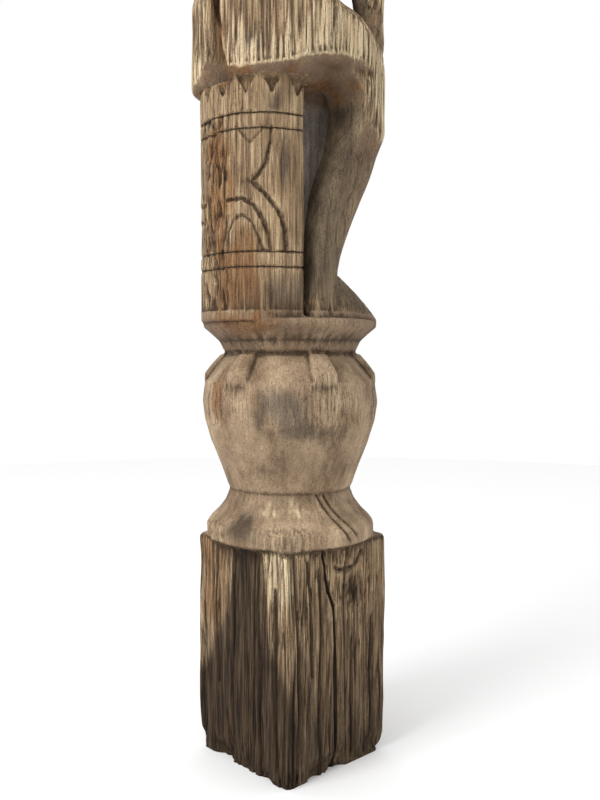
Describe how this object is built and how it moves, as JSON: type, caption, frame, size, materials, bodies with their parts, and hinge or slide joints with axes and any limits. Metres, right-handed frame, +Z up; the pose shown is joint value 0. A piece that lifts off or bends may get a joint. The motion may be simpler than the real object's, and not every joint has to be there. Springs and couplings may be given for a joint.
{
  "type": "carved guardian pole statue",
  "caption": "Weathered hardwood pole carved as a square post, flared foot, tabbed jar and dish, on which a figure sits on a drum with elbows on knees.",
  "frame": {"origin": "in the plane of the post's underside, on the pole's axis", "axes": "+Z up along the pole, the seated figure faces -Y, +X is the figure's left"},
  "size_m": [0.229, 0.2216, 1.43],
  "materials": {
    "weathered_ironwood": "weathered, unfinished"
  },
  "bodies": {
    "root": {"guardian_pole_statue": "weathered_ironwood"}
  },
  "joints": []
}
